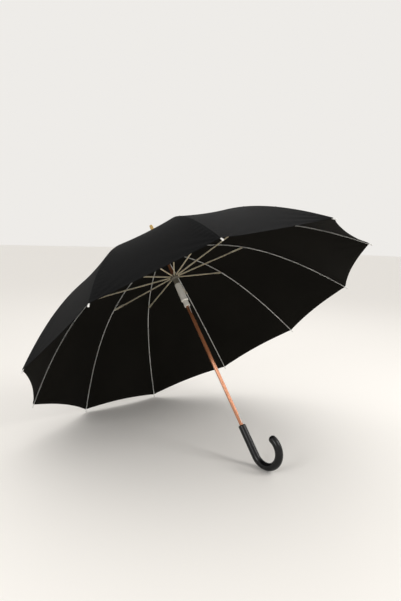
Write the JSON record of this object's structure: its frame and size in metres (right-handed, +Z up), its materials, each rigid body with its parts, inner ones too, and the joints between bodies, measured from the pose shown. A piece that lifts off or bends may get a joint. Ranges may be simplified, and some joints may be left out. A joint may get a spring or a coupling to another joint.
{
  "type": "stick umbrella",
  "caption": "Open stick umbrella with a scalloped dark cloth canopy on folding ribs, a sliding runner and a curved J handle.",
  "frame": {"origin": "centre of the bounding box on the floor, under the open umbrella as it lies on two rib tips and the bend of its handle", "axes": "+Z up, +Y along the longest extent across the canopy, +X toward the handle; the shaft lies in the XZ plane"},
  "size_m": [0.775, 0.9946, 0.6462],
  "materials": {
    "cloth": "matte woven polyester",
    "steel": "satin",
    "champagne": "satin champagne lacquer",
    "rose": "polished rose-gold tube",
    "brass": "polished",
    "ivory": "glossy",
    "olive": "matte",
    "black": "semi-gloss"
  },
  "bodies": {
    "frame": {"shaft": "rose", "handle": "black", "ferrule": "brass", "crown_notch": "brass", "crown_wire": "steel", "crown_cap": "brass", "upper_stop": "rose"},
    "runner": {"runner_sleeve": "ivory", "runner_head": "olive", "runner_wire": "steel"},
    "upper_catch": {"upper_catch": "steel"},
    "lower_catch": {"lower_catch": "steel"},
    "rib_01": {"rib_01": "steel"},
    "stretcher_01": {"stretcher_01": "champagne"},
    "panel_01_next": {"panel_01_next": "cloth"},
    "panel_01_back": {"panel_01_back": "cloth"},
    "rib_02": {"rib_02": "steel"},
    "stretcher_02": {"stretcher_02": "champagne"},
    "panel_02_next": {"panel_02_next": "cloth"},
    "panel_02_back": {"panel_02_back": "cloth"},
    "rib_03": {"rib_03": "steel"},
    "stretcher_03": {"stretcher_03": "champagne"},
    "panel_03_next": {"panel_03_next": "cloth"},
    "panel_03_back": {"panel_03_back": "cloth"},
    "rib_04": {"rib_04": "steel"},
    "stretcher_04": {"stretcher_04": "champagne"},
    "panel_04_next": {"panel_04_next": "cloth"},
    "panel_04_back": {"panel_04_back": "cloth"},
    "rib_05": {"rib_05": "steel"},
    "stretcher_05": {"stretcher_05": "champagne"},
    "panel_05_next": {"panel_05_next": "cloth"},
    "panel_05_back": {"panel_05_back": "cloth"},
    "rib_06": {"rib_06": "steel"},
    "stretcher_06": {"stretcher_06": "champagne"},
    "panel_06_next": {"panel_06_next": "cloth"},
    "panel_06_back": {"panel_06_back": "cloth"},
    "rib_07": {"rib_07": "steel"},
    "stretcher_07": {"stretcher_07": "champagne"},
    "panel_07_next": {"panel_07_next": "cloth"},
    "panel_07_back": {"panel_07_back": "cloth"},
    "rib_08": {"rib_08": "steel"},
    "stretcher_08": {"stretcher_08": "champagne"},
    "panel_08_next": {"panel_08_next": "cloth"},
    "panel_08_back": {"panel_08_back": "cloth"},
    "rib_09": {"rib_09": "steel"},
    "stretcher_09": {"stretcher_09": "champagne"},
    "panel_09_next": {"panel_09_next": "cloth"},
    "panel_09_back": {"panel_09_back": "cloth"},
    "rib_10": {"rib_10": "steel"},
    "stretcher_10": {"stretcher_10": "champagne"},
    "panel_10_next": {"panel_10_next": "cloth"},
    "panel_10_back": {"panel_10_back": "cloth"},
    "rib_11": {"rib_11": "steel"},
    "stretcher_11": {"stretcher_11": "champagne"},
    "panel_11_next": {"panel_11_next": "cloth"},
    "panel_11_back": {"panel_11_back": "cloth"}
  },
  "joints": [
    {"name": "runner_slide", "type": "slide", "parent": "frame", "child": "runner", "axis": [0.6197, 0, -0.7848], "range_m": [0, 0.358]},
    {"name": "upper_catch_press", "type": "hinge", "parent": "frame", "child": "upper_catch", "pos_m": [-0.04802, 0, 0.35784], "axis": [0, -1, 0], "range_deg": [0, 6], "stiffness_Nm_per_rad": 0.1},
    {"name": "lower_catch_press", "type": "hinge", "parent": "frame", "child": "lower_catch", "pos_m": [0.15835, 0, 0.09649], "axis": [0, -1, 0], "range_deg": [0, 6], "stiffness_Nm_per_rad": 0.1},
    {"name": "rib_01_fold", "type": "hinge", "parent": "frame", "child": "rib_01", "pos_m": [-0.18875, -0.00282, 0.51429], "axis": [0.2211, -0.9595, 0.1746], "range_deg": [0, 57.47]},
    {"name": "stretcher_01_swing", "type": "hinge", "parent": "runner", "child": "stretcher_01", "pos_m": [-0.13607, -0.00282, 0.44758], "axis": [-0.2211, 0.9595, -0.1746], "range_deg": [0, 61.79]},
    {"name": "panel_01_next_pleat", "type": "hinge", "parent": "rib_01", "child": "panel_01_next", "pos_m": [-0.1881, -0.00564, 0.5148], "axis": [0.3766, 0.9245, -0.0584], "range_deg": [0, 20.25], "deforming": ["panel_01_next"]},
    {"name": "panel_01_back_pleat", "type": "hinge", "parent": "rib_01", "child": "panel_01_back", "pos_m": [-0.1894, 0, 0.51378], "axis": [-0.7366, 0.6375, -0.2258], "range_deg": [0, 20.25], "deforming": ["panel_01_back"]},
    {"name": "rib_02_fold", "type": "hinge", "parent": "frame", "child": "rib_02", "pos_m": [-0.18636, -0.00756, 0.51618], "axis": [0.5931, -0.6549, 0.4684], "range_deg": [0, 57.47]},
    {"name": "stretcher_02_swing", "type": "hinge", "parent": "runner", "child": "stretcher_02", "pos_m": [-0.13368, -0.00756, 0.44947], "axis": [-0.5931, 0.6549, -0.4684], "range_deg": [0, 61.79]},
    {"name": "panel_02_next_pleat", "type": "hinge", "parent": "rib_02", "child": "panel_02_next", "pos_m": [-0.18462, -0.00948, 0.51755], "axis": [-0.048, 0.918, -0.3937], "range_deg": [0, 20.25], "deforming": ["panel_02_next"]},
    {"name": "panel_02_back_pleat", "type": "hinge", "parent": "rib_02", "child": "panel_02_back", "pos_m": [-0.1881, -0.00564, 0.5148], "axis": [-0.9176, 0.1481, -0.3688], "range_deg": [0, 20.25], "deforming": ["panel_02_back"]},
    {"name": "rib_03_fold", "type": "hinge", "parent": "frame", "child": "rib_03", "pos_m": [-0.18234, -0.0099, 0.51935], "axis": [0.7768, -0.1423, 0.6134], "range_deg": [0, 57.47]},
    {"name": "stretcher_03_swing", "type": "hinge", "parent": "runner", "child": "stretcher_03", "pos_m": [-0.12966, -0.0099, 0.45264], "axis": [-0.7768, 0.1423, -0.6134], "range_deg": [0, 61.79]},
    {"name": "panel_03_next_pleat", "type": "hinge", "parent": "rib_03", "child": "panel_03_next", "pos_m": [-0.18005, -0.01032, 0.52115], "axis": [-0.4024, 0.62, -0.6735], "range_deg": [0, 20.25], "deforming": ["panel_03_next"]},
    {"name": "panel_03_back_pleat", "type": "hinge", "parent": "rib_03", "child": "panel_03_back", "pos_m": [-0.18462, -0.00948, 0.51755], "axis": [-0.8623, -0.3883, -0.3251], "range_deg": [0, 20.25], "deforming": ["panel_03_back"]},
    {"name": "rib_04_fold", "type": "hinge", "parent": "frame", "child": "rib_04", "pos_m": [-0.17796, -0.0091, 0.52281], "axis": [0.7139, 0.4154, 0.5637], "range_deg": [0, 57.47]},
    {"name": "stretcher_04_swing", "type": "hinge", "parent": "runner", "child": "stretcher_04", "pos_m": [-0.12528, -0.0091, 0.4561], "axis": [-0.7139, -0.4154, -0.5637], "range_deg": [0, 61.79]},
    {"name": "panel_04_next_pleat", "type": "hinge", "parent": "rib_04", "child": "panel_04_next", "pos_m": [-0.17586, -0.00788, 0.52446], "axis": [-0.5741, 0.1252, -0.8091], "range_deg": [0, 20.25], "deforming": ["panel_04_next"]},
    {"name": "panel_04_back_pleat", "type": "hinge", "parent": "rib_04", "child": "panel_04_back", "pos_m": [-0.18005, -0.01032, 0.52115], "axis": [-0.5881, -0.8015, -0.1086], "range_deg": [0, 20.25], "deforming": ["panel_04_back"]},
    {"name": "rib_05_fold", "type": "hinge", "parent": "frame", "child": "rib_05", "pos_m": [-0.17462, -0.00541, 0.52545], "axis": [0.4243, 0.8413, 0.335], "range_deg": [0, 57.47]},
    {"name": "stretcher_05_swing", "type": "hinge", "parent": "runner", "child": "stretcher_05", "pos_m": [-0.12194, -0.00541, 0.45874], "axis": [-0.4243, -0.8413, -0.335], "range_deg": [0, 61.79]},
    {"name": "panel_05_next_pleat", "type": "hinge", "parent": "rib_05", "child": "panel_05_next", "pos_m": [-0.17337, -0.00294, 0.52643], "axis": [-0.5086, -0.4094, -0.7574], "range_deg": [0, 20.25], "deforming": ["panel_05_next"]},
    {"name": "panel_05_back_pleat", "type": "hinge", "parent": "rib_05", "child": "panel_05_back", "pos_m": [-0.17586, -0.00788, 0.52446], "axis": [-0.1822, -0.9602, 0.212], "range_deg": [0, 20.25], "deforming": ["panel_05_back"]},
    {"name": "rib_06_fold", "type": "hinge", "parent": "frame", "child": "rib_06", "pos_m": [-0.17337, 0, 0.52643], "axis": [0, 1, 0], "range_deg": [0, 57.47]},
    {"name": "stretcher_06_swing", "type": "hinge", "parent": "runner", "child": "stretcher_06", "pos_m": [-0.12069, 0, 0.45972], "axis": [0, -1, 0], "range_deg": [0, 61.79]},
    {"name": "panel_06_next_pleat", "type": "hinge", "parent": "rib_06", "child": "panel_06_next", "pos_m": [-0.17337, 0.00294, 0.52643], "axis": [-0.2267, -0.814, -0.5348], "range_deg": [0, 20.25], "deforming": ["panel_06_next"]},
    {"name": "panel_06_back_pleat", "type": "hinge", "parent": "rib_06", "child": "panel_06_back", "pos_m": [-0.17337, -0.00294, 0.52643], "axis": [0.2267, -0.814, 0.5348], "range_deg": [0, 20.25], "deforming": ["panel_06_back"]},
    {"name": "rib_07_fold", "type": "hinge", "parent": "frame", "child": "rib_07", "pos_m": [-0.17462, 0.00541, 0.52545], "axis": [-0.4243, 0.8413, -0.335], "range_deg": [0, 57.47]},
    {"name": "stretcher_07_swing", "type": "hinge", "parent": "runner", "child": "stretcher_07", "pos_m": [-0.12194, 0.00541, 0.45874], "axis": [0.4243, -0.8413, 0.335], "range_deg": [0, 61.79]},
    {"name": "panel_07_next_pleat", "type": "hinge", "parent": "rib_07", "child": "panel_07_next", "pos_m": [-0.17586, 0.00788, 0.52446], "axis": [0.1822, -0.9602, -0.212], "range_deg": [0, 20.25], "deforming": ["panel_07_next"]},
    {"name": "panel_07_back_pleat", "type": "hinge", "parent": "rib_07", "child": "panel_07_back", "pos_m": [-0.17337, 0.00294, 0.52643], "axis": [0.5086, -0.4094, 0.7574], "range_deg": [0, 20.25], "deforming": ["panel_07_back"]},
    {"name": "rib_08_fold", "type": "hinge", "parent": "frame", "child": "rib_08", "pos_m": [-0.17796, 0.0091, 0.52281], "axis": [-0.7139, 0.4154, -0.5637], "range_deg": [0, 57.47]},
    {"name": "stretcher_08_swing", "type": "hinge", "parent": "runner", "child": "stretcher_08", "pos_m": [-0.12528, 0.0091, 0.4561], "axis": [0.7139, -0.4154, 0.5637], "range_deg": [0, 61.79]},
    {"name": "panel_08_next_pleat", "type": "hinge", "parent": "rib_08", "child": "panel_08_next", "pos_m": [-0.18005, 0.01032, 0.52115], "axis": [0.5881, -0.8015, 0.1086], "range_deg": [0, 20.25], "deforming": ["panel_08_next"]},
    {"name": "panel_08_back_pleat", "type": "hinge", "parent": "rib_08", "child": "panel_08_back", "pos_m": [-0.17586, 0.00788, 0.52446], "axis": [0.5741, 0.1252, 0.8091], "range_deg": [0, 20.25], "deforming": ["panel_08_back"]},
    {"name": "rib_09_fold", "type": "hinge", "parent": "frame", "child": "rib_09", "pos_m": [-0.18234, 0.0099, 0.51935], "axis": [-0.7768, -0.1423, -0.6134], "range_deg": [0, 57.47]},
    {"name": "stretcher_09_swing", "type": "hinge", "parent": "runner", "child": "stretcher_09", "pos_m": [-0.12966, 0.0099, 0.45264], "axis": [0.7768, 0.1423, 0.6134], "range_deg": [0, 61.79]},
    {"name": "panel_09_next_pleat", "type": "hinge", "parent": "rib_09", "child": "panel_09_next", "pos_m": [-0.18462, 0.00948, 0.51755], "axis": [0.8623, -0.3883, 0.3251], "range_deg": [0, 20.25], "deforming": ["panel_09_next"]},
    {"name": "panel_09_back_pleat", "type": "hinge", "parent": "rib_09", "child": "panel_09_back", "pos_m": [-0.18005, 0.01032, 0.52115], "axis": [0.4024, 0.62, 0.6735], "range_deg": [0, 20.25], "deforming": ["panel_09_back"]},
    {"name": "rib_10_fold", "type": "hinge", "parent": "frame", "child": "rib_10", "pos_m": [-0.18636, 0.00756, 0.51618], "axis": [-0.5931, -0.6549, -0.4684], "range_deg": [0, 57.47]},
    {"name": "stretcher_10_swing", "type": "hinge", "parent": "runner", "child": "stretcher_10", "pos_m": [-0.13368, 0.00756, 0.44947], "axis": [0.5931, 0.6549, 0.4684], "range_deg": [0, 61.79]},
    {"name": "panel_10_next_pleat", "type": "hinge", "parent": "rib_10", "child": "panel_10_next", "pos_m": [-0.1881, 0.00564, 0.5148], "axis": [0.9176, 0.1481, 0.3688], "range_deg": [0, 20.25], "deforming": ["panel_10_next"]},
    {"name": "panel_10_back_pleat", "type": "hinge", "parent": "rib_10", "child": "panel_10_back", "pos_m": [-0.18462, 0.00948, 0.51755], "axis": [0.048, 0.918, 0.3937], "range_deg": [0, 20.25], "deforming": ["panel_10_back"]},
    {"name": "rib_11_fold", "type": "hinge", "parent": "frame", "child": "rib_11", "pos_m": [-0.18875, 0.00282, 0.51429], "axis": [-0.2211, -0.9595, -0.1746], "range_deg": [0, 57.47]},
    {"name": "stretcher_11_swing", "type": "hinge", "parent": "runner", "child": "stretcher_11", "pos_m": [-0.13607, 0.00282, 0.44758], "axis": [0.2211, 0.9595, 0.1746], "range_deg": [0, 61.79]},
    {"name": "panel_11_next_pleat", "type": "hinge", "parent": "rib_11", "child": "panel_11_next", "pos_m": [-0.1894, 0, 0.51378], "axis": [0.7366, 0.6375, 0.2258], "range_deg": [0, 20.25], "deforming": ["panel_11_next"]},
    {"name": "panel_11_back_pleat", "type": "hinge", "parent": "rib_11", "child": "panel_11_back", "pos_m": [-0.1881, 0.00564, 0.5148], "axis": [-0.3766, 0.9245, 0.0584], "range_deg": [0, 20.25], "deforming": ["panel_11_back"]}
  ],
  "couplings": [
    {"joint": "rib_01_fold", "follows": "runner_slide", "rad_per_m": 2.8016},
    {"joint": "stretcher_01_swing", "follows": "runner_slide", "rad_per_m": 3.0121},
    {"joint": "panel_01_next_pleat", "follows": "runner_slide", "rad_per_m": 0.98722},
    {"joint": "panel_01_back_pleat", "follows": "runner_slide", "rad_per_m": 0.98722},
    {"joint": "rib_02_fold", "follows": "runner_slide", "rad_per_m": 2.8016},
    {"joint": "stretcher_02_swing", "follows": "runner_slide", "rad_per_m": 3.0121},
    {"joint": "panel_02_next_pleat", "follows": "runner_slide", "rad_per_m": 0.98722},
    {"joint": "panel_02_back_pleat", "follows": "runner_slide", "rad_per_m": 0.98722},
    {"joint": "rib_03_fold", "follows": "runner_slide", "rad_per_m": 2.8016},
    {"joint": "stretcher_03_swing", "follows": "runner_slide", "rad_per_m": 3.0121},
    {"joint": "panel_03_next_pleat", "follows": "runner_slide", "rad_per_m": 0.98722},
    {"joint": "panel_03_back_pleat", "follows": "runner_slide", "rad_per_m": 0.98722},
    {"joint": "rib_04_fold", "follows": "runner_slide", "rad_per_m": 2.8016},
    {"joint": "stretcher_04_swing", "follows": "runner_slide", "rad_per_m": 3.0121},
    {"joint": "panel_04_next_pleat", "follows": "runner_slide", "rad_per_m": 0.98722},
    {"joint": "panel_04_back_pleat", "follows": "runner_slide", "rad_per_m": 0.98722},
    {"joint": "rib_05_fold", "follows": "runner_slide", "rad_per_m": 2.8016},
    {"joint": "stretcher_05_swing", "follows": "runner_slide", "rad_per_m": 3.0121},
    {"joint": "panel_05_next_pleat", "follows": "runner_slide", "rad_per_m": 0.98722},
    {"joint": "panel_05_back_pleat", "follows": "runner_slide", "rad_per_m": 0.98722},
    {"joint": "rib_06_fold", "follows": "runner_slide", "rad_per_m": 2.8016},
    {"joint": "stretcher_06_swing", "follows": "runner_slide", "rad_per_m": 3.0121},
    {"joint": "panel_06_next_pleat", "follows": "runner_slide", "rad_per_m": 0.98722},
    {"joint": "panel_06_back_pleat", "follows": "runner_slide", "rad_per_m": 0.98722},
    {"joint": "rib_07_fold", "follows": "runner_slide", "rad_per_m": 2.8016},
    {"joint": "stretcher_07_swing", "follows": "runner_slide", "rad_per_m": 3.0121},
    {"joint": "panel_07_next_pleat", "follows": "runner_slide", "rad_per_m": 0.98722},
    {"joint": "panel_07_back_pleat", "follows": "runner_slide", "rad_per_m": 0.98722},
    {"joint": "rib_08_fold", "follows": "runner_slide", "rad_per_m": 2.8016},
    {"joint": "stretcher_08_swing", "follows": "runner_slide", "rad_per_m": 3.0121},
    {"joint": "panel_08_next_pleat", "follows": "runner_slide", "rad_per_m": 0.98722},
    {"joint": "panel_08_back_pleat", "follows": "runner_slide", "rad_per_m": 0.98722},
    {"joint": "rib_09_fold", "follows": "runner_slide", "rad_per_m": 2.8016},
    {"joint": "stretcher_09_swing", "follows": "runner_slide", "rad_per_m": 3.0121},
    {"joint": "panel_09_next_pleat", "follows": "runner_slide", "rad_per_m": 0.98722},
    {"joint": "panel_09_back_pleat", "follows": "runner_slide", "rad_per_m": 0.98722},
    {"joint": "rib_10_fold", "follows": "runner_slide", "rad_per_m": 2.8016},
    {"joint": "stretcher_10_swing", "follows": "runner_slide", "rad_per_m": 3.0121},
    {"joint": "panel_10_next_pleat", "follows": "runner_slide", "rad_per_m": 0.98722},
    {"joint": "panel_10_back_pleat", "follows": "runner_slide", "rad_per_m": 0.98722},
    {"joint": "rib_11_fold", "follows": "runner_slide", "rad_per_m": 2.8016},
    {"joint": "stretcher_11_swing", "follows": "runner_slide", "rad_per_m": 3.0121},
    {"joint": "panel_11_next_pleat", "follows": "runner_slide", "rad_per_m": 0.98722},
    {"joint": "panel_11_back_pleat", "follows": "runner_slide", "rad_per_m": 0.98722}
  ]
}
